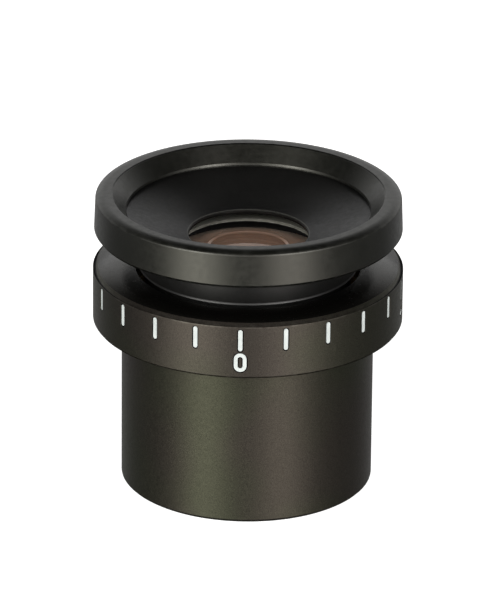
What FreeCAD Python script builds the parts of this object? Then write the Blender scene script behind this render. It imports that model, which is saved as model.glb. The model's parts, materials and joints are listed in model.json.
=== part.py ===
import FreeCAD, Part
import math
import os

import Sketcher
from FreeCAD import Placement, Rotation, Vector

# Focusing wide-field eyepiece with a 30 mm plug.
# Origin at the centre of the plug's lower face, +Z along the optical axis towards the eye.
# The eyepiece stands at 0 dioptres with its eyecup screwed down.

doc = FreeCAD.newDocument("eyepiece")
sheet = doc.addObject("Spreadsheet::Sheet", "Dimensions")

# Driving dimensions, millimetres unless the name says otherwise. "up" values are heights above the origin.
size = {
    # plug barrel
    "plug_radius": 15.0,
    "plug_length": 20.0,
    "flange_radius": 17.3,
    "flange_up": 21.2,
    "lower_bore_radius": 14.1,
    "bearing_bore_radius": 13.6,
    "bearing_low_up": 11.0,
    "edge_chamfer": 0.3,
    "fine_chamfer": 0.2,
    # keyways, slots and pins of the cam drive
    "key_depth_radius": 14.4,
    "key_half_width": 0.87,
    "key_low_up": 11.8,
    "slot_half_width": 0.87,
    "slot_half_rise": 2.09,
    "pin_radius": 0.78,
    "pin_inner_radius": 11.3,
    "pin_outer_radius": 14.25,
    "pin_up": 15.0,
    "focus_half_travel": 2.0,
    "focus_half_turn_degrees": 85.0,
    # field stop
    "field_radius": 9.0,
    "stop_low_up": 8.2,
    "stop_high_up": 9.5,
    "stop_edge": 0.15,
    "stop_flat_radius": 10.6,
    "notch_half_width": 0.6,
    "notch_depth": 0.5,
    # friction washer
    "washer_inner_radius": 13.65,
    "washer_outer_radius": 15.8,
    "washer_gap": 0.03,
    # cam sleeve and its snap ring
    "sleeve_inner_radius": 12.5,
    "sleeve_outer_radius": 13.53,
    "sleeve_low_up": 9.8,
    "sleeve_flange_up": 21.8,
    "sleeve_top_up": 23.6,
    "sleeve_flange_radius": 15.95,
    "groove_radius": 13.0,
    "groove_low_up": 10.2,
    "groove_high_up": 10.8,
    "snap_outer_radius": 13.85,
    "snap_gap": 0.02,
    "snap_sweep_degrees": 335.0,
    # dioptre ring
    "ring_radius": 18.42,
    "ring_low_up": 20.1,
    "ring_top_up": 26.95,
    "ring_chamfer": 0.35,
    "ring_skirt_radius": 17.6,
    "ring_skirt_up": 21.45,
    "ring_seat_radius": 15.95,
    "ring_bore_radius": 13.34,
    "grub_radius": 1.0,
    "grub_tip_radius": 15.95,
    "grub_head_radius": 18.05,
    "grub_up": 22.55,
    "grub_socket": 0.5,
    "grub_socket_depth": 0.9,
    "fit_gap": 0.02,
    # engraved scale
    "engraving_radius": 18.24,
    "paint_radius": 18.36,
    "mark_up": 24.88,
    "mark_half_height": 1.33,
    "mark_half_width": 0.25,
    "glyph_up": 22.1,
    "glyph_half_height": 1.16,
    "glyph_half_width": 0.74,
    "glyph_inner_half_height": 0.72,
    "glyph_inner_half_width": 0.3,
    "sign_reach": 0.7,
    "sign_half_stroke": 0.18,
    "scale_offset_degrees": -2.54,
    "mark_step_degrees": 16.73,
    # lens carrier
    "carrier_guide_radius": 12.44,
    "carrier_radius": 11.0,
    "carrier_low_up": 12.2,
    "guide_top_up": 18.0,
    "carrier_top_up": 28.5,
    "cell_radius": 10.0,
    "web_radius": 8.8,
    "web_low_up": 17.2,
    "web_high_up": 18.2,
    "clip_groove_radius": 10.6,
    "clip_low_up": 27.2,
    "clip_high_up": 27.8,
    "clip_outer_radius": 11.35,
    # optics
    "lens_radius": 9.95,
    "field_lens_radius": 10.9,
    "field_cell_radius": 11.0,
    "eye_vertex_up": 29.64,
    "eye_back_up": 24.3,
    "eye_curvature": 24.5,
    "crown_vertex_up": 24.0,
    "crown_curvature": 30.0,
    "joint_vertex_up": 19.0,
    "joint_curvature": 25.0,
    "field_joint_up": 16.3,
    "field_joint_curvature": 28.0,
    "field_vertex_up": 12.9,
    "field_curvature": 80.0,
    # rings in the lens carrier
    "eye_ring_radius": 7.85,
    "eye_ring_low_up": 27.6,
    "eye_ring_foot_up": 27.86,
    "eye_ring_hollow_radius": 9.3,
    "eye_ring_hollow_up": 28.95,
    "eye_ring_lip_up": 29.05,
    "eye_ring_boss_radius": 9.75,
    "eye_ring_top_up": 29.4,
    "spacer_radius": 8.7,
    "spacer_low_up": 22.72,
    "rear_ring_radius": 9.9,
    "rear_ring_low_up": 12.3,
    "rear_ring_high_up": 13.5,
    # eyecup
    "cup_low_up": 19.6,
    "cup_sleeve_radius": 12.2,
    "cup_land_radius": 11.06,
    "cup_land_up": 22.6,
    "cup_relief_radius": 11.65,
    "drag_up": 21.2,
    "drag_ring_radius": 11.43,
    "drag_section_radius": 0.33,
    "drag_groove_radius": 11.82,
    "drag_groove_half": 0.42,
    "neck_radius": 12.98,
    "neck_bead_radius": 13.04,
    "neck_bead_up": 27.16,
    "neck_bead_top_up": 27.34,
    "neck_low_up": 27.05,
    "cup_roof_up": 30.4,
    "opening_radius": 7.11,
    "opening_up": 30.9,
    "lip_rounding": 0.12,
    "dish_radius": 14.42,
    "dish_up": 33.4,
    "tongue_radius": 16.5,
    "tongue_low_up": 32.2,
    "tongue_root_radius": 15.0,
    # rim of the eyecup
    "rim_low_up": 31.43,
    "rim_foot_radius": 18.3,
    "rim_shoulder_radius": 18.14,
    "rim_shoulder_up": 35.45,
    "rim_crest_radius": 17.3,
    "rim_crest_up": 35.92,
    "rim_inner_radius": 16.15,
    "rim_lip_radius": 14.5,
    "rim_lip_up": 34.02,
    "rim_edge_up": 33.74,
    "rim_undercut_radius": 14.95,
    "rim_shoulder_rounding": 0.35,
    "rim_crest_rounding": 0.8,
    "rim_inner_rounding": 0.15,
    "rim_foot_rounding": 0.15,
}

for row, (alias, number) in enumerate(size.items(), start=1):
    sheet.set("A%d" % row, alias)
    sheet.set("B%d" % row, str(number))
    sheet.setAlias("B%d" % row, alias)
doc.recompute()

sub_parts = []

PIN_COUNT = 3
ORIGIN_POINT = (-1, 1)
HORIZONTAL_AXIS = -1
VERTICAL_AXIS = -2


def number_of(formula):
    """Number that a sum of sheet names and plain numbers stands for."""
    total = 0.0
    sign = 1.0
    for word in formula.split():
        if word in "+-":
            sign = 1.0 if word == "+" else -1.0
        else:
            total += sign * (size[word] if word in size else float(word))
            sign = 1.0
    return total


def in_sheet(formula):
    """The same sum written for the expression engine."""
    return " ".join("Dimensions." + word if word in size else word for word in formula.split())


def bind(target, **formulas):
    """Bind properties of an object to sums of sheet names."""
    for name, formula in formulas.items():
        target.setExpression(name, in_sheet(formula))


def keep(piece, label):
    """Register a finished sub-part under the name of its node."""
    piece.Label = label
    sub_parts.append(piece)
    return piece


def new_body(label):
    return doc.addObject("PartDesign::Body", label)


def new_sketch(body, name, plane, offset=None):
    """Sketch on one of the body's own origin planes."""
    sketch = body.newObject("Sketcher::SketchObject", name)
    support = [item for item in body.Origin.OriginFeatures if item.Role == plane][0]
    sketch.AttachmentSupport = [(support, "")]
    sketch.MapMode = "FlatFace"
    if offset is not None:
        sketch.AttachmentOffset = offset
    return sketch


def hold(sketch, geometry, position, across, along):
    """Fix a point of the sketch by its two coordinates, each bound to the sheet."""
    for kind, axis, formula in (("DistanceX", VERTICAL_AXIS, across), ("DistanceY", HORIZONTAL_AXIS, along)):
        number = number_of(formula)
        if number == 0:
            sketch.addConstraint(Sketcher.Constraint("PointOnObject", geometry, position, axis))
            continue
        ends = ORIGIN_POINT + (geometry, position)
        expression = in_sheet(formula)
        if number < 0:
            ends = (geometry, position) + ORIGIN_POINT
            expression = "-(%s)" % expression
        index = sketch.addConstraint(Sketcher.Constraint(kind, *ends, abs(number)))
        sketch.setExpression("Constraints[%d]" % index, expression)


def outline(sketch, corners):
    """Closed polygon whose corners are pairs of sheet sums."""
    points = [Vector(number_of(across), number_of(along), 0) for across, along in corners]
    first = sketch.GeometryCount
    count = len(points)
    for index, point in enumerate(points):
        sketch.addGeometry(Part.LineSegment(point, points[(index + 1) % count]), False)
    for index in range(count):
        following = first + (index + 1) % count
        sketch.addConstraint(Sketcher.Constraint("Coincident", first + index, 2, following, 1))
    for index, (across, along) in enumerate(corners):
        hold(sketch, first + index, 1, across, along)


def circle(sketch, across, along, radius):
    """Circle whose centre and radius are sheet sums."""
    centre = Vector(number_of(across), number_of(along), 0)
    index = sketch.addGeometry(Part.Circle(centre, Vector(0, 0, 1), number_of(radius)), False)
    hold(sketch, index, 3, across, along)
    rule = sketch.addConstraint(Sketcher.Constraint("Radius", index, number_of(radius)))
    sketch.setExpression("Constraints[%d]" % rule, in_sheet(radius))


def turned(label, corners, sweep=None):
    """Body of revolution about Z from an outline of (radius, height) corners."""
    body = new_body(label)
    sketch = new_sketch(body, label + "_outline", "XZ_Plane")
    outline(sketch, corners)
    solid = body.newObject("PartDesign::Revolution", label + "_turning")
    solid.Profile = sketch
    solid.ReferenceAxis = (sketch, ["V_Axis"])
    solid.Angle = 360
    if sweep is not None:
        bind(solid, Angle=sweep)
    sketch.Visibility = False
    doc.recompute()
    return body


def pocket(body, sketch, length, outward):
    """Pocket that has to take material away, along the sketch normal when outward is set."""
    before = body.Shape.Volume
    cut = body.newObject("PartDesign::Pocket", sketch.Name + "_cut")
    cut.Profile = sketch
    cut.Reversed = outward
    bind(cut, Length=length)
    doc.recompute()
    if body.Shape.Volume >= before:
        raise RuntimeError("pocket cuts nothing: " + cut.Name)
    return cut


def repeat(body, features, count):
    """Polar pattern over a whole turn about the body's own upright axis."""
    upright = next(item for item in body.Origin.OriginFeatures if item.Role == "Z_Axis")
    pattern = body.newObject("PartDesign::PolarPattern", body.Name + "_pattern")
    pattern.Originals = features
    pattern.Axis = (upright, [""])
    pattern.Angle = 360
    pattern.Occurrences = count
    body.Tip = pattern
    doc.recompute()
    return pattern


def round_edge(body, radius, height, rounding):
    """Fillet on the circular edge of this radius at this height."""
    names = []
    for index, edge in enumerate(body.Shape.Edges, start=1):
        curve = edge.Curve
        if isinstance(curve, Part.Circle) and abs(curve.Radius - number_of(radius)) < 1e-4:
            if abs(curve.Center.z - number_of(height)) < 1e-4:
                names.append("Edge%d" % index)
    base = body.Tip
    fillet = body.newObject("PartDesign::Fillet", "%s_fillet_%d" % (body.Name, len(body.Group)))
    fillet.Base = (base, names)
    bind(fillet, Radius=rounding)
    doc.recompute()


def notches(body, inner, outer, face_up, outward):
    """Two spanner notches across an annular face."""
    lift = Placement(Vector(0, 0, number_of(face_up)), Rotation())
    sketch = new_sketch(body, body.Name + "_notch", "XY_Plane", lift)
    sketch.setExpression("AttachmentOffset.Base.z", in_sheet(face_up))
    outline(sketch, [
        (inner, "- notch_half_width"),
        (outer, "- notch_half_width"),
        (outer, "notch_half_width"),
        (inner, "notch_half_width"),
    ])
    cut = pocket(body, sketch, "notch_depth", outward)
    repeat(body, [cut], 2)


# ---------------------------------------------------------------- fixed pieces

barrel = turned("barrel", [
    ("lower_bore_radius + fine_chamfer", "0"),
    ("plug_radius - edge_chamfer", "0"),
    ("plug_radius", "edge_chamfer"),
    ("plug_radius", "plug_length"),
    ("flange_radius", "plug_length"),
    ("flange_radius", "flange_up"),
    ("bearing_bore_radius", "flange_up"),
    ("bearing_bore_radius", "bearing_low_up"),
    ("lower_bore_radius", "bearing_low_up"),
    ("lower_bore_radius", "fine_chamfer"),
])
key_sketch = new_sketch(barrel, "keyway", "XY_Plane", Placement(Vector(0, 0, size["flange_up"]), Rotation()))
key_sketch.setExpression("AttachmentOffset.Base.z", in_sheet("flange_up"))
outline(key_sketch, [
    ("sleeve_inner_radius", "- key_half_width"),
    ("key_depth_radius", "- key_half_width"),
    ("key_depth_radius", "key_half_width"),
    ("sleeve_inner_radius", "key_half_width"),
])
keyway = pocket(barrel, key_sketch, "flange_up - key_low_up", False)
repeat(barrel, [keyway], PIN_COUNT)
keep(barrel, "barrel")

field_stop = turned("field_stop", [
    ("field_radius", "stop_high_up - stop_edge"),
    ("stop_flat_radius", "stop_low_up"),
    ("lower_bore_radius", "stop_low_up"),
    ("lower_bore_radius", "stop_high_up"),
    ("field_radius", "stop_high_up"),
])
notches(field_stop, "stop_flat_radius + 1", "lower_bore_radius + 1", "stop_low_up", True)
keep(field_stop, "field_stop")

friction_washer = turned("friction_washer", [
    ("washer_inner_radius", "flange_up"),
    ("washer_outer_radius", "flange_up"),
    ("washer_outer_radius", "sleeve_flange_up - washer_gap"),
    ("washer_inner_radius", "sleeve_flange_up - washer_gap"),
])
keep(friction_washer, "friction_washer")

# ---------------------------------------------------------------- cam sleeve

cam_sleeve = turned("cam_sleeve", [
    ("sleeve_inner_radius", "sleeve_low_up"),
    ("sleeve_outer_radius", "sleeve_low_up"),
    ("sleeve_outer_radius", "groove_low_up"),
    ("groove_radius", "groove_low_up"),
    ("groove_radius", "groove_high_up"),
    ("sleeve_outer_radius", "groove_high_up"),
    ("sleeve_outer_radius", "sleeve_flange_up"),
    ("sleeve_flange_radius", "sleeve_flange_up"),
    ("sleeve_flange_radius", "sleeve_top_up"),
    ("sleeve_inner_radius", "sleeve_top_up"),
])
# The helix starts at the low end of the slot and rises with the angle, like a right-handed thread.
slot_sketch = new_sketch(cam_sleeve, "slot_section", "XZ_Plane")
outline(slot_sketch, [
    ("sleeve_inner_radius - 0.3", "pin_up - slot_half_rise - slot_half_width"),
    ("sleeve_outer_radius + 0.3", "pin_up - slot_half_rise - slot_half_width"),
    ("sleeve_outer_radius + 0.3", "pin_up - slot_half_rise + slot_half_width"),
    ("sleeve_inner_radius - 0.3", "pin_up - slot_half_rise + slot_half_width"),
])
slot = cam_sleeve.newObject("PartDesign::SubtractiveHelix", "slot")
slot.Profile = slot_sketch
slot.ReferenceAxis = (slot_sketch, ["V_Axis"])
slot.Mode = 0
slot.LeftHanded = False
slot.setExpression("Pitch", "Dimensions.focus_half_travel * 360 / Dimensions.focus_half_turn_degrees")
slot.setExpression("Height", "2 * Dimensions.slot_half_rise")
doc.recompute()
repeat(cam_sleeve, [slot], PIN_COUNT)
slot_half_turn = size["focus_half_turn_degrees"] * size["slot_half_rise"] / size["focus_half_travel"]
cam_sleeve.Placement = Placement(Vector(), Rotation(Vector(0, 0, 1), -slot_half_turn))
keep(cam_sleeve, "cam_sleeve")

sleeve_snap_ring = turned("sleeve_snap_ring", [
    ("groove_radius + snap_gap", "groove_low_up + snap_gap"),
    ("snap_outer_radius", "groove_low_up + snap_gap"),
    ("snap_outer_radius", "groove_high_up - snap_gap"),
    ("groove_radius + snap_gap", "groove_high_up - snap_gap"),
], "snap_sweep_degrees")
keep(sleeve_snap_ring, "sleeve_snap_ring")

# ---------------------------------------------------------------- dioptre ring and its scale

ring_blank = turned("ring_blank", [
    ("ring_skirt_radius", "ring_low_up"),
    ("ring_radius - fine_chamfer", "ring_low_up"),
    ("ring_radius", "ring_low_up + fine_chamfer"),
    ("ring_radius", "ring_top_up - ring_chamfer"),
    ("ring_radius - ring_chamfer", "ring_top_up"),
    ("ring_bore_radius + fine_chamfer", "ring_top_up"),
    ("ring_bore_radius", "ring_top_up - fine_chamfer"),
    ("ring_bore_radius", "sleeve_top_up"),
    ("ring_seat_radius", "sleeve_top_up"),
    ("ring_seat_radius", "ring_skirt_up"),
    ("ring_skirt_radius", "ring_skirt_up"),
])

MARKS_EACH_SIDE = 5
marks = []


def engraving(name, dioptres, draw):
    """Tool that stands on the ring at this dioptre value and reaches in to the engraving's floor."""
    body = new_body(name)
    stand = Placement(Vector(0, 0, size["engraving_radius"]), Rotation())
    sketch = new_sketch(body, name + "_outline", "XZ_Plane", stand)
    sketch.setExpression("AttachmentOffset.Base.z", in_sheet("engraving_radius"))
    draw(sketch)
    block = body.newObject("PartDesign::Pad", name + "_block")
    block.Profile = sketch
    block.Length = 1
    angle = dioptres * size["mark_step_degrees"] + size["scale_offset_degrees"]
    body.Placement = Placement(Vector(), Rotation(Vector(0, 0, 1), angle))
    marks.append(body)


def draw_stadium(sketch, half_width, half_height, centre_up):
    """Upright slot with round ends, centred on the vertical axis."""
    width = number_of(half_width)
    straight = number_of(half_height) - width
    middle = number_of(centre_up)
    upper = Part.Circle(Vector(0, middle + straight, 0), Vector(0, 0, 1), width)
    lower = Part.Circle(Vector(0, middle - straight, 0), Vector(0, 0, 1), width)
    left_top = Vector(-width, middle + straight, 0)
    left_bottom = Vector(-width, middle - straight, 0)
    right_bottom = Vector(width, middle - straight, 0)
    right_top = Vector(width, middle + straight, 0)
    top, bottom, left, right = range(sketch.GeometryCount, sketch.GeometryCount + 4)
    sketch.addGeometry(Part.ArcOfCircle(upper, 0, math.pi), False)
    sketch.addGeometry(Part.ArcOfCircle(lower, math.pi, 2 * math.pi), False)
    sketch.addGeometry(Part.LineSegment(left_top, left_bottom), False)
    sketch.addGeometry(Part.LineSegment(right_bottom, right_top), False)
    for one, one_end, other, other_end in (
        (top, 2, left, 1),
        (left, 2, bottom, 1),
        (bottom, 2, right, 1),
        (right, 2, top, 1),
    ):
        sketch.addConstraint(Sketcher.Constraint("Tangent", one, one_end, other, other_end))
    sketch.addConstraint(Sketcher.Constraint("Equal", top, bottom))
    hold(sketch, top, 3, "0", "%s + %s - %s" % (centre_up, half_height, half_width))
    hold(sketch, bottom, 3, "0", "%s - %s + %s" % (centre_up, half_height, half_width))
    rule = sketch.addConstraint(Sketcher.Constraint("Radius", top, width))
    sketch.setExpression("Constraints[%d]" % rule, in_sheet(half_width))


def draw_mark(sketch):
    draw_stadium(sketch, "mark_half_width", "mark_half_height", "mark_up")


def draw_zero(sketch):
    draw_stadium(sketch, "glyph_half_width", "glyph_half_height", "glyph_up")
    hole_width = "glyph_inner_half_width"
    draw_stadium(sketch, hole_width, "glyph_inner_half_height", "glyph_up")


def draw_minus(sketch):
    outline(sketch, [
        ("- sign_reach", "glyph_up - sign_half_stroke"),
        ("sign_reach", "glyph_up - sign_half_stroke"),
        ("sign_reach", "glyph_up + sign_half_stroke"),
        ("- sign_reach", "glyph_up + sign_half_stroke"),
    ])


def draw_plus(sketch):
    outline(sketch, [
        ("- sign_reach", "glyph_up - sign_half_stroke"),
        ("- sign_half_stroke", "glyph_up - sign_half_stroke"),
        ("- sign_half_stroke", "glyph_up - sign_reach"),
        ("sign_half_stroke", "glyph_up - sign_reach"),
        ("sign_half_stroke", "glyph_up - sign_half_stroke"),
        ("sign_reach", "glyph_up - sign_half_stroke"),
        ("sign_reach", "glyph_up + sign_half_stroke"),
        ("sign_half_stroke", "glyph_up + sign_half_stroke"),
        ("sign_half_stroke", "glyph_up + sign_reach"),
        ("- sign_half_stroke", "glyph_up + sign_reach"),
        ("- sign_half_stroke", "glyph_up + sign_half_stroke"),
        ("- sign_reach", "glyph_up + sign_half_stroke"),
    ])


for dioptres in range(-MARKS_EACH_SIDE, MARKS_EACH_SIDE + 1):
    engraving("mark_%d" % (dioptres + MARKS_EACH_SIDE), dioptres, draw_mark)
engraving("zero", 0, draw_zero)
engraving("plus", MARKS_EACH_SIDE, draw_plus)
engraving("minus", -MARKS_EACH_SIDE, draw_minus)

all_marks = doc.addObject("Part::MultiFuse", "all_marks")
all_marks.Shapes = marks

GRUB_ANGLES = (30.0, 150.0)
FROM_AXIS = Rotation(Vector(0, 1, 0), 90)


def radial_cylinder(name, radius, start, length, height, angle):
    """Cylinder that points straight out from the axis."""
    rod = doc.addObject("Part::Cylinder", name)
    bind(rod, Radius=radius, Height=length)
    place_radially(rod, start, height, angle)
    return rod


def place_radially(rod, start, height, angle):
    """Stand a piece's own Z along the outward radius at this angle."""
    about_axis = Rotation(Vector(0, 0, 1), angle)
    out = about_axis.multVec(Vector(number_of(start), 0, number_of(height)))
    rod.Placement = Placement(out, about_axis.multiply(FROM_AXIS))


def joined(kind, name, pieces):
    """Boolean of several pieces."""
    result = doc.addObject(kind, name)
    result.Shapes = pieces
    return result


def cut(name, base, tool):
    result = doc.addObject("Part::Cut", name)
    result.Base = base
    result.Tool = tool
    return result


grub_holes = []
grub_screws = []
for number, angle in enumerate(GRUB_ANGLES):
    grub_holes.append(radial_cylinder("grub_hole_%d" % number, "grub_radius", "grub_tip_radius - 1",
                                      "ring_radius - grub_tip_radius + 2", "grub_up", angle))
    rod = radial_cylinder("grub_rod_%d" % number, "grub_radius - fit_gap", "grub_tip_radius + fit_gap",
                          "grub_head_radius - grub_tip_radius - fit_gap", "grub_up", angle)
    socket = doc.addObject("Part::Prism", "grub_socket_%d" % number)
    socket.Polygon = 6
    bind(socket, Circumradius="grub_socket", Height="grub_socket_depth + 1")
    place_radially(socket, "grub_head_radius - grub_socket_depth", "grub_up", angle)
    grub_screws.append(cut("grub_screw_%d" % number, rod, socket))
keep(joined("Part::MultiFuse", "ring_set_screws", grub_screws), "ring_set_screws")

ring_tools = joined("Part::MultiFuse", "ring_tools", [all_marks] + grub_holes)
keep(cut("diopter_ring", ring_blank, ring_tools), "diopter_ring")

paint_limit = doc.addObject("Part::Cylinder", "paint_limit")
bind(paint_limit, Radius="paint_radius", Height="ring_top_up")
keep(joined("Part::MultiCommon", "diopter_scale", [all_marks, paint_limit]), "diopter_scale")

# ---------------------------------------------------------------- lens carrier and its pins

lens_carrier = turned("lens_carrier", [
    ("field_cell_radius", "carrier_low_up"),
    ("carrier_guide_radius", "carrier_low_up"),
    ("carrier_guide_radius", "guide_top_up"),
    ("carrier_radius", "guide_top_up"),
    ("carrier_radius", "clip_low_up"),
    ("clip_groove_radius", "clip_low_up"),
    ("clip_groove_radius", "clip_high_up"),
    ("carrier_radius", "clip_high_up"),
    ("carrier_radius", "carrier_top_up"),
    ("cell_radius", "carrier_top_up"),
    ("cell_radius", "web_high_up"),
    ("web_radius", "web_high_up"),
    ("web_radius", "web_low_up"),
    ("field_cell_radius", "web_low_up"),
])
seat = Placement(Vector(0, 0, size["pin_inner_radius"]), Rotation())
pin_hole_sketch = new_sketch(lens_carrier, "pin_hole", "YZ_Plane", seat)
pin_hole_sketch.setExpression("AttachmentOffset.Base.z", in_sheet("pin_inner_radius"))
circle(pin_hole_sketch, "0", "pin_up", "pin_radius")
pin_hole = pocket(lens_carrier, pin_hole_sketch, "pin_outer_radius - pin_inner_radius", True)
repeat(lens_carrier, [pin_hole], PIN_COUNT)
keep(lens_carrier, "lens_carrier")

pins = []
for number in range(PIN_COUNT):
    pins.append(radial_cylinder("cam_pin_%d" % number, "pin_radius", "pin_inner_radius",
                                "pin_outer_radius - pin_inner_radius", "pin_up", 360.0 / PIN_COUNT * number))
keep(joined("Part::MultiFuse", "cam_pins", pins), "cam_pins")

# ---------------------------------------------------------------- lenses


def glass_blank(name, radius, low, high):
    """Disc that the lens surfaces are ground from."""
    blank = doc.addObject("Part::Cylinder", name)
    bind(blank, Radius=radius)
    blank.setExpression("Height", "(%s) - (%s)" % (in_sheet(high), in_sheet(low)))
    blank.setExpression("Placement.Base.z", in_sheet(low))
    return blank


def ball(name, curvature, centre_up):
    """Sphere of a lens surface, centred on the axis."""
    sphere = doc.addObject("Part::Sphere", name)
    bind(sphere, Radius=curvature)
    sphere.setExpression("Placement.Base.z", in_sheet(centre_up))
    return sphere


eye_blank = glass_blank("eye_blank", "lens_radius", "eye_back_up", "eye_vertex_up + 1")
eye_front = ball("eye_front", "eye_curvature", "eye_vertex_up - eye_curvature")
keep(joined("Part::MultiCommon", "eye_lens", [eye_blank, eye_front]), "eye_lens")

crown_blank = glass_blank("crown_blank", "lens_radius", "joint_vertex_up - 1", "crown_vertex_up + 1")
crown_front = ball("crown_front", "crown_curvature", "crown_vertex_up - crown_curvature")
crown_back = ball("crown_back", "joint_curvature", "joint_vertex_up + joint_curvature")
crown = joined("Part::MultiCommon", "middle_crown_lens", [crown_blank, crown_front, crown_back])
keep(crown, "middle_crown_lens")

flint_blank = glass_blank("flint_blank", "lens_radius", "web_high_up", "crown_vertex_up")
flint_front = ball("flint_front", "joint_curvature", "joint_vertex_up + joint_curvature")
keep(cut("middle_flint_lens", flint_blank, flint_front), "middle_flint_lens")

field_flint_blank = glass_blank("field_flint_blank", "field_lens_radius", "carrier_low_up", "web_low_up")
field_joint = ball("field_joint", "field_joint_curvature", "field_joint_up - field_joint_curvature")
keep(cut("field_flint_lens", field_flint_blank, field_joint), "field_flint_lens")

field_crown_blank = glass_blank("field_crown_blank", "field_lens_radius", "field_vertex_up - 1",
                                "field_joint_up + 1")
field_crown_top = ball("field_crown_top", "field_joint_curvature", "field_joint_up - field_joint_curvature")
field_crown_base = ball("field_crown_base", "field_curvature", "field_vertex_up + field_curvature")
field_crown = joined("Part::MultiCommon", "field_crown_lens",
                     [field_crown_blank, field_crown_top, field_crown_base])
keep(field_crown, "field_crown_lens")

# ---------------------------------------------------------------- rings in the lens carrier

eye_ring = turned("eye_lens_retaining_ring", [
    ("eye_ring_radius", "eye_ring_lip_up"),
    ("eye_ring_hollow_radius", "eye_ring_hollow_up"),
    ("eye_ring_hollow_radius", "eye_ring_foot_up"),
    ("cell_radius", "eye_ring_low_up"),
    ("cell_radius", "carrier_top_up"),
    ("eye_ring_boss_radius", "carrier_top_up"),
    ("eye_ring_boss_radius", "eye_ring_top_up"),
    ("eye_ring_radius + fine_chamfer", "eye_ring_top_up"),
    ("eye_ring_radius", "eye_ring_top_up - fine_chamfer"),
])
keep(eye_ring, "eye_lens_retaining_ring")

eye_spacer = turned("eye_spacer", [
    ("spacer_radius", "spacer_low_up"),
    ("lens_radius", "spacer_low_up"),
    ("lens_radius", "eye_back_up"),
    ("spacer_radius", "eye_back_up"),
])
keep(eye_spacer, "eye_spacer")

rear_ring = turned("rear_retaining_ring", [
    ("rear_ring_radius", "rear_ring_low_up"),
    ("field_cell_radius", "rear_ring_low_up"),
    ("field_cell_radius", "rear_ring_high_up"),
    ("rear_ring_radius", "rear_ring_high_up"),
])
notches(rear_ring, "rear_ring_radius - 1", "field_cell_radius + 1", "rear_ring_low_up", True)
keep(rear_ring, "rear_retaining_ring")

stop_ring = turned("eyecup_stop_ring", [
    ("clip_groove_radius + snap_gap", "clip_low_up + snap_gap"),
    ("clip_outer_radius", "clip_low_up + snap_gap"),
    ("clip_outer_radius", "clip_high_up - snap_gap"),
    ("clip_groove_radius + snap_gap", "clip_high_up - snap_gap"),
], "snap_sweep_degrees")
keep(stop_ring, "eyecup_stop_ring")

# ---------------------------------------------------------------- eyecup

drag_ring = doc.addObject("Part::Torus", "eyecup_drag_ring")
bind(drag_ring, Radius1="drag_ring_radius", Radius2="drag_section_radius")
drag_ring.setExpression("Placement.Base.z", in_sheet("drag_up"))
keep(drag_ring, "eyecup_drag_ring")

eyecup_body = turned("eyecup_body", [
    ("cup_land_radius", "cup_low_up"),
    ("cup_sleeve_radius", "cup_low_up"),
    ("cup_sleeve_radius", "neck_low_up"),
    ("neck_bead_radius", "neck_low_up"),
    ("neck_bead_radius", "neck_bead_up"),
    ("neck_radius", "neck_bead_top_up"),
    ("neck_radius", "rim_low_up"),
    ("tongue_root_radius", "rim_low_up"),
    ("tongue_root_radius", "tongue_low_up"),
    ("tongue_radius", "tongue_low_up"),
    ("tongue_radius", "dish_up"),
    ("dish_radius", "dish_up"),
    ("opening_radius", "opening_up"),
    ("opening_radius", "cup_roof_up"),
    ("cup_relief_radius", "cup_roof_up"),
    ("cup_relief_radius", "cup_land_up"),
    ("cup_land_radius", "cup_land_up"),
    ("cup_land_radius", "drag_up + drag_groove_half"),
    ("drag_groove_radius", "drag_up + drag_groove_half"),
    ("drag_groove_radius", "drag_up - drag_groove_half"),
    ("cup_land_radius", "drag_up - drag_groove_half"),
])
round_edge(eyecup_body, "opening_radius", "opening_up", "lip_rounding")
keep(eyecup_body, "eyecup_body")

eyecup_rim = turned("eyecup_rim", [
    ("tongue_root_radius", "rim_low_up"),
    ("rim_foot_radius", "rim_low_up"),
    ("rim_shoulder_radius", "rim_shoulder_up"),
    ("rim_crest_radius", "rim_crest_up"),
    ("rim_inner_radius", "rim_crest_up"),
    ("rim_lip_radius", "rim_lip_up"),
    ("dish_radius", "rim_edge_up"),
    ("rim_undercut_radius", "rim_edge_up"),
    ("rim_undercut_radius", "dish_up"),
    ("tongue_radius", "dish_up"),
    ("tongue_radius", "tongue_low_up"),
    ("tongue_root_radius", "tongue_low_up"),
])
round_edge(eyecup_rim, "rim_shoulder_radius", "rim_shoulder_up", "rim_shoulder_rounding")
round_edge(eyecup_rim, "rim_crest_radius", "rim_crest_up", "rim_crest_rounding")
round_edge(eyecup_rim, "rim_inner_radius", "rim_crest_up", "rim_inner_rounding")
round_edge(eyecup_rim, "rim_foot_radius", "rim_low_up", "rim_foot_rounding")
keep(eyecup_rim, "eyecup_rim")

# ---------------------------------------------------------------- check and export

doc.recompute()
for thing in doc.Objects:
    if "Invalid" in thing.State or "Error" in thing.State:
        raise RuntimeError("failed object: " + thing.Name)

os.makedirs("parts", exist_ok=True)
for piece in sub_parts:
    shape = piece.Shape
    if shape.isNull() or not shape.isValid() or not shape.Solids:
        raise RuntimeError("bad shape: " + piece.Label)
    shape.exportStep(os.path.join("parts", piece.Label + ".step"))
    print("%-26s %2d solid(s) %10.2f mm3" % (piece.Label, len(shape.Solids), shape.Volume))
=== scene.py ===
import json
import math

import bmesh
import bpy
from mathutils import Matrix, Vector


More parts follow.
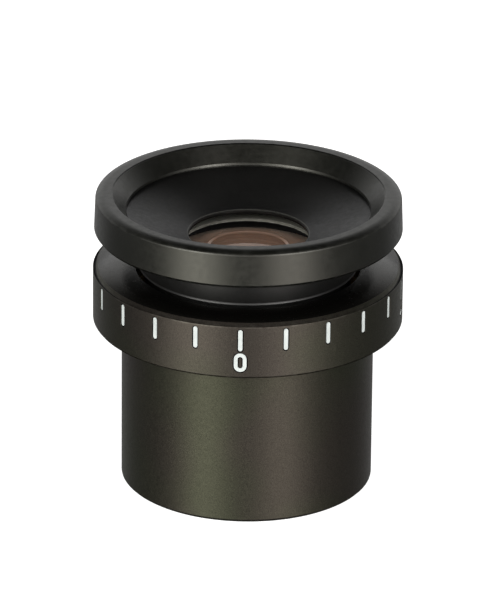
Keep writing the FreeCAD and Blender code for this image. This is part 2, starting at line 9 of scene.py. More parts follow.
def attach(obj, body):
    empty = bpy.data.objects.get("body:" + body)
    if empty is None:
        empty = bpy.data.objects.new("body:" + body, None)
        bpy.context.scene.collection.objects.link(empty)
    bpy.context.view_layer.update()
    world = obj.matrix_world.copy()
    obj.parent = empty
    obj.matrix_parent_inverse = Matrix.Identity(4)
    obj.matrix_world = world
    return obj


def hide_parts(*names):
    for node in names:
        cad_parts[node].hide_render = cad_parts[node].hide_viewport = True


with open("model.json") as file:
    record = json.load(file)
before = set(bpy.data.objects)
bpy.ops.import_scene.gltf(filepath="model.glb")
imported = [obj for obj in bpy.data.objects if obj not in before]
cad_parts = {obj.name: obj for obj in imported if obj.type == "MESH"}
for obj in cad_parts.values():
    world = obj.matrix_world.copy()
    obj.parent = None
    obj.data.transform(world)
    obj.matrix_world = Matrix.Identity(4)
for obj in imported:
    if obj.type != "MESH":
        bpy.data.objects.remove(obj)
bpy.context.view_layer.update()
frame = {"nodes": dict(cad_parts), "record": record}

MM = 0.001
SEGMENTS = 256          # faces round a turned piece
ARC_STEP = 15.0         # degrees of turn between points of a rounded corner
EDGE_SUPPORT = 0.06     # millimetres from a rounded corner to the next line of points

# Radii and heights in millimetres that several pieces or finishes share.
RING_RADIUS, RING_TOP = 18.42, 26.95
BEAD_TOP, LIP_TOP, OPENING = 27.34, 30.9, 7.11
FLANGE_LOW, SEAT_LOW, SEAT_HIGH, SEAT_INNER, SEAT_OUTER, DISH = 31.43, 32.2, 33.4, 15.0, 16.5, 14.42
CELL_RING_BORE, CELL_RING_TOP, CELL_RING_BEVEL = 7.85, 29.4, 0.2

BODY_OF = {node: body for body, nodes in frame["record"]["behaviour"]["bodies"].items() for node in nodes}
SLOT_OF = {entry["node"]: entry["material_slot"] for entry in frame["record"]["subparts"]}


# ---------------------------------------------------------------- shape helpers


def rounded(corners):
    """Points (radius, height, wear) of a closed outline whose corners are (radius, height, rounding)."""
    points = []
    count = len(corners)
    for index, (radius, height, rounding) in enumerate(corners):
        here = Vector((radius, height))
        before = Vector(corners[index - 1][:2]) - here
        after = Vector(corners[(index + 1) % count][:2]) - here
        if rounding == 0:
            points.append((radius, height, 0.0))
            continue
        half = before.angle(after) / 2
        reach = rounding / math.tan(half)
        inward = (before.normalized() + after.normalized()).normalized()
        centre = here + inward * (rounding / math.sin(half))
        start = here + before.normalized() * reach
        sweep = math.pi - 2 * half
        steps = max(2, math.ceil(math.degrees(sweep) / ARC_STEP))
        turn = -1.0 if before.cross(after) > 0 else 1.0
        support = here + before.normalized() * (reach + EDGE_SUPPORT)
        if before.length > 2 * (reach + EDGE_SUPPORT):
            points.append((support.x, support.y, 0.0))
        for step in range(steps + 1):
            spoke = (start - centre) @ Matrix.Rotation(turn * sweep * step / steps, 2)
            points.append((centre.x + spoke.x, centre.y + spoke.y, 1.0))
        support = here + after.normalized() * (reach + EDGE_SUPPORT)
        if after.length > 2 * (reach + EDGE_SUPPORT):
            points.append((support.x, support.y, 0.0))
    return points


def object_from(name, work):
    """Object in the scene made from a bmesh, which is freed."""
    mesh = bpy.data.meshes.new(name)
    work.to_mesh(mesh)
    work.free()
    piece = bpy.data.objects.new(name, mesh)
    bpy.context.collection.objects.link(piece)
    return piece


def lathe(name, points):
    """Solid of revolution about Z from a closed outline of (radius, height, wear) in millimetres."""
    work = bmesh.new()
    wear = work.verts.layers.float.new("edge_wear")
    rings = []
    for radius, height, worn in points:
        if radius < 1e-6:
            centre = work.verts.new((0, 0, height * MM))
            centre[wear] = worn
            rings.append([centre])
            continue
        ring = []
        for step in range(SEGMENTS):
            angle = 2 * math.pi * step / SEGMENTS
            spot = (radius * MM * math.cos(angle), radius * MM * math.sin(angle), height * MM)
            vert = work.verts.new(spot)
            vert[wear] = worn
            ring.append(vert)
        rings.append(ring)
    for index, ring in enumerate(rings):
        following = rings[(index + 1) % len(rings)]
        if len(ring) == 1 and len(following) == 1:
            continue
        for step in range(SEGMENTS):
            after = (step + 1) % SEGMENTS
            if len(ring) == 1:
                work.faces.new((ring[0], following[after], following[step]))
            elif len(following) == 1:
                work.faces.new((ring[step], ring[after], following[0]))
            else:
                work.faces.new((ring[step], ring[after], following[after], following[step]))
    bmesh.ops.recalc_face_normals(work, faces=work.faces)
    return object_from(name, work)


def smooth(piece, sharp_degrees=35.0):
    """Smooth shading that keeps hard corners and lets the large faces rule the normals."""
    piece.data.shade_smooth()
    piece.data.set_sharp_from_angle(angle=math.radians(sharp_degrees))
    weighted = piece.modifiers.new("weighted_normals", "WEIGHTED_NORMAL")
    weighted.keep_sharp = True


def carve(piece, cutter):
    """Subtract the cutter from the piece and drop the cutter."""
    tool = piece.modifiers.new("carve", "BOOLEAN")
    tool.operation = "DIFFERENCE"
    tool.solver = "EXACT"
    tool.object = cutter
    bpy.context.view_layer.update()
    result = bpy.data.meshes.new_from_object(piece.evaluated_get(bpy.context.evaluated_depsgraph_get()))
    piece.modifiers.clear()
    piece.data = result
    bpy.data.objects.remove(cutter)


def true_round(piece):
    """Exact radial normals on upright turned walls, so that cuts in them leave no shading marks."""
    crease, upright = 35, 0.999
    mesh = piece.data
    mesh.shade_smooth()
    mesh.set_sharp_from_angle(angle=math.radians(crease))
    normals = [tuple(corner.vector) for corner in mesh.corner_normals]
    for face in mesh.polygons:
        out = Vector((face.center.x, face.center.y, 0)).normalized()
        if abs(face.normal.dot(out)) < upright:
            continue
        side = 1.0 if face.normal.dot(out) > 0 else -1.0
        for corner in face.loop_indices:
            spot = mesh.vertices[mesh.loops[corner].vertex_index].co
            normals[corner] = tuple(Vector((spot.x, spot.y, 0)).normalized() * side)
    mesh.normals_split_custom_set(normals)


def stand_for(piece, node, material):
    """Give a finished piece its material and let it take the place of its CAD node."""
    piece.data.materials.clear()
    piece.data.materials.append(material)
    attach(piece, BODY_OF[node])
    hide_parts(node)


# ---------------------------------------------------------------- material helpers


def new_material(name):
    """Material, its node tree and its main shader."""
    material = bpy.data.materials.new(name)
    material.use_nodes = True
    return material, material.node_tree, material.node_tree.nodes["Principled BSDF"]


def feed(tree, socket, value):
    """Set a socket to a number or colour, or link it to another socket."""
    if isinstance(value, bpy.types.NodeSocket):
        tree.links.new(value, socket)
    else:
        socket.default_value = value


def math_node(tree, operation, *values):
    """One sum of numbers or sockets."""
    node = tree.nodes.new("ShaderNodeMath")
    node.operation = operation
    for socket, value in zip(node.inputs, values):
        feed(tree, socket, value)
    return node.outputs["Value"]


def place(tree):
    """Position on the piece, in metres."""
    return tree.nodes.new("ShaderNodeTexCoord").outputs["Object"]


def along_turning(tree):
    """Coordinates that change only with radius and height, as tool marks on a turned face do."""
    split = tree.nodes.new("ShaderNodeSeparateXYZ")
    tree.links.new(place(tree), split.inputs["Vector"])
    across = math_node(tree, "MULTIPLY", split.outputs["X"], split.outputs["X"])
    along = math_node(tree, "MULTIPLY", split.outputs["Y"], split.outputs["Y"])
    radius = math_node(tree, "SQRT", math_node(tree, "ADD", across, along))
    join = tree.nodes.new("ShaderNodeCombineXYZ")
    tree.links.new(radius, join.inputs["X"])
    tree.links.new(split.outputs["Z"], join.inputs["Z"])
    return join.outputs["Vector"]


def radius_and_height(tree):
    """Distance from the axis and height above the foot, in metres."""
    split = tree.nodes.new("ShaderNodeSeparateXYZ")
    tree.links.new(along_turning(tree), split.inputs["Vector"])
    return split.outputs["X"], split.outputs["Z"]


def noise(tree, size, detail=2.0, coordinates=None):
    """Noise whose features are about this many millimetres across."""
    node = tree.nodes.new("ShaderNodeTexNoise")
    tree.links.new(coordinates or place(tree), node.inputs["Vector"])
    node.inputs["Scale"].default_value = 1 / (size * MM)
    node.inputs["Detail"].default_value = detail
    return node.outputs["Fac"]


def spread(tree, value, low, high, new_low=0.0, new_high=1.0):
    """Stretch low..high to new_low..new_high, held at both ends. Low may be the larger of the two."""
    node = tree.nodes.new("ShaderNodeMapRange")
    tree.links.new(value, node.inputs["Value"])
    node.inputs["From Min"].default_value = low
    node.inputs["From Max"].default_value = high
    node.inputs["To Min"].default_value = new_low
    node.inputs["To Max"].default_value = new_high
    return node.outputs["Result"]


def blend_colours(tree, factor, first, second):
    """The first colour at factor 0, the second at factor 1."""
    node = tree.nodes.new("ShaderNodeMix")
    node.data_type = "RGBA"
    feed(tree, node.inputs["Factor"], factor)
    feed(tree, node.inputs["A"], first)
    feed(tree, node.inputs["B"], second)
    return node.outputs["Result"]


def edge_mask(tree, radius):
    """Patchy mask of worn edges: painted on turned pieces, found by bevelled normals elsewhere."""
    bevel = tree.nodes.new("ShaderNodeBevel")
    bevel.samples = 4
    bevel.inputs["Radius"].default_value = radius * MM
    facing = tree.nodes.new("ShaderNodeVectorMath")
    facing.operation = "DOT_PRODUCT"
    tree.links.new(bevel.outputs["Normal"], facing.inputs[0])
    tree.links.new(tree.nodes.new("ShaderNodeNewGeometry").outputs["Normal"], facing.inputs[1])
    corner = spread(tree, facing.outputs["Value"], 0.99, 0.85)
    painted = tree.nodes.new("ShaderNodeAttribute")
    painted.attribute_name = "edge_wear"
    either = math_node(tree, "MAXIMUM", corner, painted.outputs["Fac"])
    return math_node(tree, "MULTIPLY", either, spread(tree, noise(tree, 0.9, 4.0), 0.42, 0.62))


def relief(tree, shader, height, depth, before=None):
    """Bump of this depth in millimetres, on top of an earlier one."""
    node = tree.nodes.new("ShaderNodeBump")
    node.inputs["Strength"].default_value = 1.0
    node.inputs["Distance"].default_value = depth * MM
    tree.links.new(height, node.inputs["Height"])
    if before is not None:
        tree.links.new(before, node.inputs["Normal"])
    tree.links.new(node.outputs["Normal"], shader.inputs["Normal"])
    return node.outputs["Normal"]


def wear_and_grain(tree, shader, base, worn, roughness, grain, grain_depth, lines_depth, edge, worn_share):
    """Worn edges over the base colour, uneven roughness, a fine grain and optional turning lines."""
    wear = math_node(tree, "MULTIPLY", edge_mask(tree, edge), worn_share)
    tree.links.new(blend_colours(tree, wear, base, worn), shader.inputs["Base Color"])
    low, high = roughness
    rough = spread(tree, noise(tree, grain * 4, 3.0), 0.3, 0.7, low, high)
    tree.links.new(rough, shader.inputs["Roughness"])
    normal = relief(tree, shader, noise(tree, grain, 3.0), grain_depth)
    if lines_depth > 0:
        lines = noise(tree, 0.12, 1.0, along_turning(tree))
        relief(tree, shader, lines, lines_depth, normal)


def coated_surface(name, dark, light, worn, roughness, grain, grain_depth, lines_depth=0.0, edge=0.12,
                   cloud=5.0, contrast=0.25, worn_share=0.5):
    """Opaque finish of two cloudy shades, with grain and worn edges."""
    material, tree, shader = new_material(name)
    clouds = spread(tree, noise(tree, cloud, 3.0), 0.35, 0.65)
    specks = spread(tree, noise(tree, grain, 3.0), 0.3, 0.7, 0.0, contrast)
    shade = math_node(tree, "ADD", math_node(tree, "MULTIPLY", clouds, 1 - contrast), specks)
    base = blend_colours(tree, shade, dark, light)
    wear_and_grain(tree, shader, base, worn, roughness, grain, grain_depth, lines_depth, edge, worn_share)
    return material, tree, shader


def colour_over(tree, shader, factor, colour):
    """Lay a colour over the base colour that the shader already has."""
    under = shader.inputs["Base Color"].links[0].from_socket
    tree.links.new(blend_colours(tree, factor, under, colour), shader.inputs["Base Color"])


# ---------------------------------------------------------------- materials


def tinted_metal(name, olive, rose, roughness, grain, grain_depth, worn_share):
    """Dyed anodising over a bead blast: dark metal whose tint drifts and whose grain sparkles."""
    material, tree, shader = new_material(name)
    drift = spread(tree, noise(tree, 14.0, 1.0), 0.40, 0.60)
    tint = blend_colours(tree, drift, olive, rose)
    sparkle = spread(tree, noise(tree, grain, 2.0), 0.25, 0.75, 0.62, 1.38)
    speckled = tree.nodes.new("ShaderNodeVectorMath")
    speckled.operation = "SCALE"
    tree.links.new(tint, speckled.inputs[0])
    tree.links.new(sparkle, speckled.inputs["Scale"])
    wear_and_grain(tree, shader, speckled.outputs["Vector"], (0.16, 0.15, 0.13, 1), roughness, grain,
                   grain_depth, 0.0012, 0.12, worn_share)
    shader.inputs["Metallic"].default_value = 0.93
    return material, tree, shader


def barrel_anodised():
    """Warm dark anodising of the plug."""
    material, _, _ = tinted_metal("barrel_anodised", (0.049, 0.050, 0.035, 1), (0.052, 0.046, 0.038, 1),
                                  (0.40, 0.48), 0.11, 0.010, 0.3)
    return material


def ring_anodised():
    """The same anodising with a smoother top face painted darker as shade under the eyecup, and black
    painted in the recess round the engraved marks as their shadow.
    """
    material, tree, shader = tinted_metal("ring_anodised", (0.052, 0.051, 0.038, 1),
                                          (0.056, 0.049, 0.042, 1), (0.38, 0.46), 0.10, 0.008, 0.35)
    radius, height = radius_and_height(tree)
    marks_low, marks_high, sharpness = 20.8, 26.4, 0.01
    # Recess round the engraved marks: painted black, as the shadow in the engraving.
    below_wall = spread(tree, radius, (RING_RADIUS - 0.02) * MM, (RING_RADIUS - 0.05) * MM)
    above_low = spread(tree, height, marks_low * MM, (marks_low + sharpness) * MM)
    below_high = spread(tree, height, marks_high * MM, (marks_high - sharpness) * MM)
    recess = math_node(tree, "MULTIPLY", below_wall, math_node(tree, "MULTIPLY", above_low, below_high))
    # Top face inside the edge: painted darker, as shade under the eyecup, and made smoother.
    on_top = spread(tree, height, (RING_TOP - 0.05) * MM, (RING_TOP - 0.02) * MM)
    inside_edge = spread(tree, radius, (RING_RADIUS - 0.5) * MM, (RING_RADIUS - 0.6) * MM)
    face = math_node(tree, "MULTIPLY", on_top, inside_edge)
    colour_over(tree, shader, face, (0.022, 0.021, 0.018, 1))
    colour_over(tree, shader, recess, (0.001, 0.001, 0.001, 1))
    dull = shader.inputs["Roughness"].links[0].from_socket
    smoother = math_node(tree, "MULTIPLY", face, -0.18)
    tree.links.new(math_node(tree, "ADD", dull, smoother), shader.inputs["Roughness"])
    return material


def inner_anodised():
    """Matt black anodising of the inner metal."""
    material, _, shader = coated_surface(
        "inner_anodised", (0.006, 0.006, 0.006, 1), (0.014, 0.014, 0.013, 1), (0.10, 0.10, 0.10, 1),
        (0.50, 0.62), 0.08, 0.008, lines_depth=0.004, contrast=0.5)
    shader.inputs["Specular IOR Level"].default_value = 0.4
    return material


def cup_plastic():
    """Moulded black plastic: glossy bead, neck whose gloss is dimmed at both ends as painted shade, satin
    dish, opening lip painted lighter as a highlight.
    """
    material, tree, shader = coated_surface(
        "cup_plastic", (0.0030, 0.0030, 0.0028, 1), (0.0075, 0.0074, 0.0070, 1), (0.03, 0.03, 0.03, 1),
        (0.35, 0.44), 0.13, 0.008, contrast=0.5, worn_share=0.3)
    radius, height = radius_and_height(tree)
    neck_middle, neck_high, roof = 28.9, 29.1, 30.6
    # Gloss by height: the neck is dimmed next to the bead and under the rim, as painted shade; the bead
    # and the dish keep their gloss.
    gloss_and_painted_shade = spread(tree, height, (BEAD_TOP - 0.04) * MM, neck_middle * MM, 0.09, 0.27)
    for start, end, change in ((BEAD_TOP + 0.04, BEAD_TOP - 0.02, 0.5),
                               (neck_high, neck_high + 1.2, -0.2),
                               (roof, roof + 0.2, 0.55)):
        gloss_and_painted_shade = math_node(tree, "ADD", gloss_and_painted_shade, spread(tree, height, start * MM, end * MM, 0.0, change))
    tree.links.new(gloss_and_painted_shade, shader.inputs["Specular IOR Level"])
    # Opening lip: painted lighter, as a highlight on its rounding.
    near_opening = spread(tree, radius, (OPENING + 0.19) * MM, (OPENING + 0.11) * MM)
    on_lip = spread(tree, height, (LIP_TOP - 0.10) * MM, (LIP_TOP - 0.06) * MM)
    colour_over(tree, shader, math_node(tree, "MULTIPLY", near_opening, on_lip), (0.12, 0.12, 0.11, 1))
    return material


def rim_rubber():
    """Hard, smooth black rubber with a faint bloom."""
    material, _, shader = coated_surface(
        "rim_rubber", (0.0014, 0.0016, 0.0011, 1), (0.0045, 0.0047, 0.0038, 1), (0.035, 0.035, 0.033, 1),
        (0.29, 0.38), 0.16, 0.006, contrast=0.45, worn_share=0.3)
    shader.inputs["Specular IOR Level"].default_value = 0.58
    shader.inputs["Specular Tint"].default_value = (1.0, 0.99, 0.90, 1)
    return material


def scale_paint():
    """White enamel wiped into the engraving, thin and greyish in places."""
    material, _, shader = coated_surface(
        "scale_paint", (0.39, 0.42, 0.41, 1), (0.47, 0.50, 0.49, 1), (0.45, 0.46, 0.45, 1),
        (0.45, 0.60), 0.12, 0.010, edge=0.06, cloud=1.2, worn_share=0.5)
    shader.inputs["Specular IOR Level"].default_value = 0.4
    return material


def cam_brass():
    """Turned brass, dulled by grease."""
    material, _, shader = coated_surface(
        "cam_brass", (0.42, 0.27, 0.09, 1), (0.60, 0.42, 0.17, 1), (0.82, 0.66, 0.34, 1),
        (0.24, 0.36), 0.2, 0.004, lines_depth=0.006, cloud=3.0)
    shader.inputs["Metallic"].default_value = 1.0
    return material


def spring_steel():
    """Bright drawn wire with a faint straw tint."""
    material, _, shader = coated_surface(
        "spring_steel", (0.40, 0.39, 0.37, 1), (0.58, 0.57, 0.55, 1), (0.75, 0.75, 0.74, 1),
        (0.20, 0.34), 0.15, 0.004, lines_depth=0.003, cloud=2.0)
    shader.inputs["Metallic"].default_value = 1.0
    return material


def black_steel():
    """Chemically blackened screws."""
    material, _, shader = coated_surface(
        "black_steel", (0.018, 0.018, 0.020, 1), (0.035, 0.035, 0.038, 1), (0.30, 0.30, 0.30, 1),
        (0.30, 0.42), 0.07, 0.006, edge=0.06, cloud=0.8)
    shader.inputs["Metallic"].default_value = 0.6
    return material


def washer_plastic():
    """White low-friction plastic, skived, with grey rubbed streaks."""
    material, _, shader = coated_surface(
        "washer_plastic", (0.62, 0.61, 0.57, 1), (0.80, 0.79, 0.76, 1), (0.40, 0.39, 0.37, 1),
        (0.45, 0.58), 0.3, 0.006, lines_depth=0.004, cloud=2.5)
    shader.inputs["Subsurface Weight"].default_value = 0.1
    shader.inputs["Subsurface Scale"].default_value = 0.4 * MM
    return material


def ring_rubber():
    """Soft black rubber with a dusty grain."""
    material, _, shader = coated_surface(
        "ring_rubber", (0.010, 0.010, 0.010, 1), (0.022, 0.022, 0.022, 1), (0.05, 0.05, 0.05, 1),
        (0.60, 0.75), 0.12, 0.012, contrast=0.5)
    shader.inputs["Specular IOR Level"].default_value = 0.3
    return material


def lens_glass():
    """Coated glass: amber-brown base colour, paler and milkier outwards, painted as the reflections and
    inner light seen in the lens; with dust and wiping marks.
    """
    material, tree, shader = new_material("lens_glass")
    radius, _ = radius_and_height(tree)
    outside = spread(tree, radius, 4.5 * MM, 8.6 * MM)
    # Painted reflection: brown towards the middle and paler towards the edge, standing in for coating
    # reflections and light inside the eyepiece.
    bloom = blend_colours(tree, outside, (0.66, 0.42, 0.31, 1), (1.0, 0.82, 0.68, 1))
    dust = spread(tree, noise(tree, 0.35, 5.0), 0.62, 0.80)
    tree.links.new(blend_colours(tree, dust, bloom, (0.80, 0.68, 0.58, 1)), shader.inputs["Base Color"])
    tree.links.new(spread(tree, noise(tree, 2.5, 4.0), 0.45, 0.75, 0.02, 0.08), shader.inputs["Roughness"])
    clearness = math_node(tree, "SUBTRACT", 0.62, math_node(tree, "MULTIPLY", outside, 0.40))
    tree.links.new(clearness, shader.inputs["Transmission Weight"])
    shader.inputs["IOR"].default_value = 1.52
    shader.inputs["Specular IOR Level"].default_value = 0.35
    shader.inputs["Specular Tint"].default_value = (1.0, 0.72, 0.55, 1)
    relief(tree, shader, noise(tree, 4.0, 2.0), 0.0006)
    return material


def cell_ring_anodised():
    """Grey anodising on the ring over the eye lens; its bore below the bevel is painted dead black."""
    material, tree, shader = coated_surface(
        "cell_ring_anodised", (0.13, 0.128, 0.112, 1), (0.20, 0.197, 0.172, 1), (0.55, 0.55, 0.50, 1),
        (0.34, 0.44), 0.08, 0.006, lines_depth=0.004, contrast=0.5, worn_share=0.6)
    _, height = radius_and_height(tree)
    bevel_foot = CELL_RING_TOP - CELL_RING_BEVEL
    below = spread(tree, height, bevel_foot * MM, (bevel_foot - 0.03) * MM)
    colour_over(tree, shader, below, (0.001, 0.001, 0.001, 1))
    dull = shader.inputs["Roughness"].links[0].from_socket
    tree.links.new(math_node(tree, "MAXIMUM", below, dull), shader.inputs["Roughness"])
    shader.inputs["Specular IOR Level"].default_value = 0.4
    return material


MATERIALS = {
    make.__name__: make()
    for make in (barrel_anodised, ring_anodised, inner_anodised, cup_plastic, rim_rubber, scale_paint,
                 lens_glass, cam_brass, spring_steel, black_steel, washer_plastic, ring_rubber)
}
for node, part in frame["nodes"].items():
    part.data.materials.clear()
    part.data.materials.append(MATERIALS[SLOT_OF[node]])


# ---------------------------------------------------------------- turned pieces


def make_barrel():
    """Plug and flange, its lower bore ribbed against glare, with three keyways behind the cam sleeve."""
    plug, flange, bore, bearing = 15.0, 17.3, 14.1, 13.6
    plug_top, flange_top, bearing_low, foot_chamfer, bore_chamfer = 20.0, 21.2, 11.0, 0.3, 0.2
    ribs_low, ribs_high, rib_pitch, rib_depth = 1.2, 7.7, 0.5, 0.22
    key_half_width, key_inner, key_outer, key_low, keys = 0.87, 12.0, 14.4, 11.8, 3
    outline = rounded([
        (bore + bore_chamfer, 0.0, 0.05),
        (plug - foot_chamfer, 0.0, 0.1),
        (plug, foot_chamfer, 0.1),
        (plug, plug_top, 0.0),
        (flange, plug_top, 0.1),
        (flange, flange_top, 0.1),
        (bearing, flange_top, 0.05),
        (bearing, bearing_low, 0.05),
        (bore, bearing_low, 0.0),
    ])
    count = round((ribs_high - ribs_low) / rib_pitch)
    for rib in range(count):
        top = ribs_high - rib * rib_pitch
        outline += [(bore, top, 1.0), (bore + rib_depth, top - 0.3 * rib_pitch, 0.0)]
    outline += [(bore, ribs_low, 1.0), (bore, bore_chamfer, 0.0)]
    piece = lathe("barrel_turned", outline)
    work = bmesh.new()
    key_high = flange_top + 1
    size = Matrix.Diagonal(((key_outer - key_inner) * MM, 2 * key_half_width * MM,
                            (key_high - key_low) * MM, 1))
    middle = Matrix.Translation(Vector((key_outer + key_inner, 0, key_high + key_low)) * (MM / 2))
    for turn in range(keys):
        spin = Matrix.Rotation(2 * math.pi * turn / keys, 4, "Z")
        bmesh.ops.create_cube(work, size=1.0, matrix=spin @ middle @ size)
    carve(piece, object_from("keys", work))
    true_round(piece)
    stand_for(piece, "barrel", MATERIALS["barrel_anodised"])


def engraving_cutter(clearance, depth_radius):
    """The painted scale, grown by the clearance in its own surface and carried out past the ring."""
    paint_inner, paint_outer, beyond = 18.24, 18.36, 19.0
    weld, facing_out = 0.001, 0.7
    work = bmesh.new()
    work.from_mesh(frame["nodes"]["diopter_scale"].data)
    bmesh.ops.remove_doubles(work, verts=work.verts, dist=weld * MM)
    work.normal_update()
    middle = (paint_inner + paint_outer) / 2
    moved = []
    for vert in work.verts:
        out = Vector((vert.co.x, vert.co.y, 0)).normalized()
        side = Vector((0, 0, 0))
        for face in vert.link_faces:
            if abs(face.normal.dot(out)) < facing_out:
                side += face.normal * face.calc_area()
        side -= out * side.dot(out)
        if side.length > 0:
            side = side.normalized() * clearance * MM
        outer = math.hypot(vert.co.x, vert.co.y) > middle * MM
        radius = beyond * MM if outer else depth_radius * MM
        moved.append(out * radius + Vector((0, 0, vert.co.z)) + side)
    for vert, spot in zip(work.verts, moved):
        vert.co = spot
    return object_from("engraving", work)


def make_diopter_ring():
    """Dioptre ring with its engraved scale and two screw holes."""
    skirt, seat, bore = 17.6, 15.95, 13.34
    low, skirt_top, seat_top = 20.1, 21.45, 23.6
    recess_clearance, recess_radius = 0.13, 18.2
    screw_radius, screw_up, screw_middle, screw_length, screw_angles = 1.0, 22.55, 17.2, 5.0, (30, 150)
    piece = lathe("diopter_ring_turned", rounded([
        (skirt, low, 0.05),
        (RING_RADIUS, low, 0.2),
        (RING_RADIUS, RING_TOP, 0.35),
        (bore, RING_TOP, 0.2),
        (bore, seat_top, 0.0),
        (seat, seat_top, 0.0),
        (seat, skirt_top, 0.05),
        (skirt, skirt_top, 0.0),
    ]))
    carve(piece, engraving_cutter(recess_clearance, recess_radius))
    work = bmesh.new()
    lift = Matrix.Translation((0, 0, screw_up * MM))
    outwards = Matrix.Translation((0, 0, screw_middle * MM))
    for angle in screw_angles:
        turn = Matrix.Rotation(math.radians(angle), 4, "Z") @ Matrix.Rotation(math.radians(90), 4, "Y")
        bmesh.ops.create_cone(work, cap_ends=True, segments=48, radius1=screw_radius * MM,
                              radius2=screw_radius * MM, depth=screw_length * MM,
                              matrix=lift @ turn @ outwards)
    carve(piece, object_from("screw_holes", work))
    true_round(piece)
    stand_for(piece, "diopter_ring", MATERIALS["ring_anodised"])


def make_eyecup_body():
    """Threadless sleeve, neck, roof with the viewing opening, and the shallow dish."""
    land, relief_radius, groove, sleeve, neck, bead = 11.06, 11.65, 11.82, 12.2, 12.98, 13.04
    low, land_top, groove_low, groove_high = 19.6, 22.6, 20.78, 21.62
    neck_low, bead_widest, roof_low = 27.05, 27.16, 30.4
    piece = lathe("eyecup_body_moulded", rounded([
        (land, low, 0.1),
        (sleeve, low, 0.15),
        (sleeve, neck_low, 0.0),
        (bead, neck_low, 0.06),
        (bead, bead_widest, 0.0),
        (neck, BEAD_TOP, 0.0),
        (neck, FLANGE_LOW, 0.0),
        (SEAT_INNER, FLANGE_LOW, 0.0),
        (SEAT_INNER, SEAT_LOW, 0.0),
        (SEAT_OUTER, SEAT_LOW, 0.0),
        (SEAT_OUTER, SEAT_HIGH, 0.0),
        (DISH, SEAT_HIGH, 0.0),
        (OPENING, LIP_TOP, 0.14),
        (OPENING, roof_low, 0.05),
        (relief_radius, roof_low, 0.2),
        (relief_radius, land_top, 0.0),
        (land, land_top, 0.05),
        (land, groove_high, 0.05),
        (groove, groove_high, 0.1),
        (groove, groove_low, 0.1),
        (land, groove_low, 0.05),
    ]))
    smooth(piece)
    stand_for(piece, "eyecup_body", MATERIALS["cup_plastic"])


def make_eyecup_rim():
    """Rubber rim: sloping outer wall, flattened round crest, deep inner bevel and an undercut lip."""
    foot_radius, shoulder_radius, shoulder_up, crest_radius, crest_up = 18.3, 18.14, 35.38, 17.0, 35.92
    crest_inner, bevel_foot, bevel_foot_up, edge_up, undercut = 16.15, 14.5, 34.02, 33.74, 14.95
    outline = rounded([
        (SEAT_INNER, FLANGE_LOW, 0.0),
        (foot_radius, FLANGE_LOW, 0.28),
        (shoulder_radius, shoulder_up, 0.0),
    ])
    steps = 16
    for step in range(1, steps):
        angle = math.pi / 2 * step / steps
        outline.append((crest_radius + (shoulder_radius - crest_radius) * math.cos(angle),
                        shoulder_up + (crest_up - shoulder_up) * math.sin(angle), 1.0 - step / steps))
    outline += rounded([
        (crest_radius, crest_up, 0.0),
        (crest_inner, crest_up, 0.15),
        (bevel_foot, bevel_foot_up, 0.04),
        (DISH, edge_up, 0.02),
        (undercut, edge_up, 0.0),
        (undercut, SEAT_HIGH, 0.0),
        (SEAT_OUTER, SEAT_HIGH, 0.0),
        (SEAT_OUTER, SEAT_LOW, 0.0),
        (SEAT_INNER, SEAT_LOW, 0.0),
    ])
    piece = lathe("eyecup_rim_moulded", outline)
    smooth(piece)
    stand_for(piece, "eyecup_rim", MATERIALS["rim_rubber"])


def make_retaining_ring():
    """Ring over the eye lens: bevelled lip that stands clear of the glass, and a foot on its edge."""
    thread, boss, hollow = 10.0, 9.75, 9.3
    carrier_top, lip_low, hollow_top, foot_inner_up, foot_outer_up = 28.5, 29.05, 28.95, 27.86, 27.6
    piece = lathe("eye_lens_retaining_ring_turned", rounded([
        (CELL_RING_BORE, lip_low, 0.0),
        (hollow, hollow_top, 0.0),
        (hollow, foot_inner_up, 0.0),
        (thread, foot_outer_up, 0.0),
        (thread, carrier_top, 0.0),
        (boss, carrier_top, 0.0),
        (boss, CELL_RING_TOP, 0.08),
        (CELL_RING_BORE + CELL_RING_BEVEL, CELL_RING_TOP, 0.04),
        (CELL_RING_BORE, CELL_RING_TOP - CELL_RING_BEVEL, 0.04),
    ]))
    smooth(piece)
    stand_for(piece, "eye_lens_retaining_ring", cell_ring_anodised())


def make_eye_lens():
    """Eye lens: domed front whose middle zone sits a hair lower inside a fine bevel, and a flat back."""
    edge, back, vertex, curvature, bevel = 9.95, 24.3, 29.64, 24.5, 0.12
    zone, zone_bevel, zone_drop = 4.9, 0.32, 0.14

    def dome(radius):
        return vertex - curvature + math.sqrt(curvature ** 2 - radius ** 2)

    count = 28
    front = [(0.0, dome(0) - zone_drop, 0.0)]
    for step in range(1, count + 1):
        radius = (zone - zone_bevel) * step / count
        front.append((radius, dome(radius) - zone_drop, 0.0))
    for step in range(count + 1):
        radius = zone + (edge - bevel - zone) * step / count
        front.append((radius, dome(radius), 0.0))
    front_edge = front[-1][1]
    outline = front + [
        (edge, front_edge - bevel, 0.0),
        (edge, back + bevel, 0.0),
        (edge - bevel, back, 0.0),
        (0.0, back, 0.0),
    ]
    piece = lathe("eye_lens_ground", outline)
    smooth(piece, 15.0)
    stand_for(piece, "eye_lens", MATERIALS["lens_glass"])


make_barrel()
make_diopter_ring()
make_eyecup_body()
make_eyecup_rim()
make_retaining_ring()
make_eye_lens()


# ---------------------------------------------------------------- camera


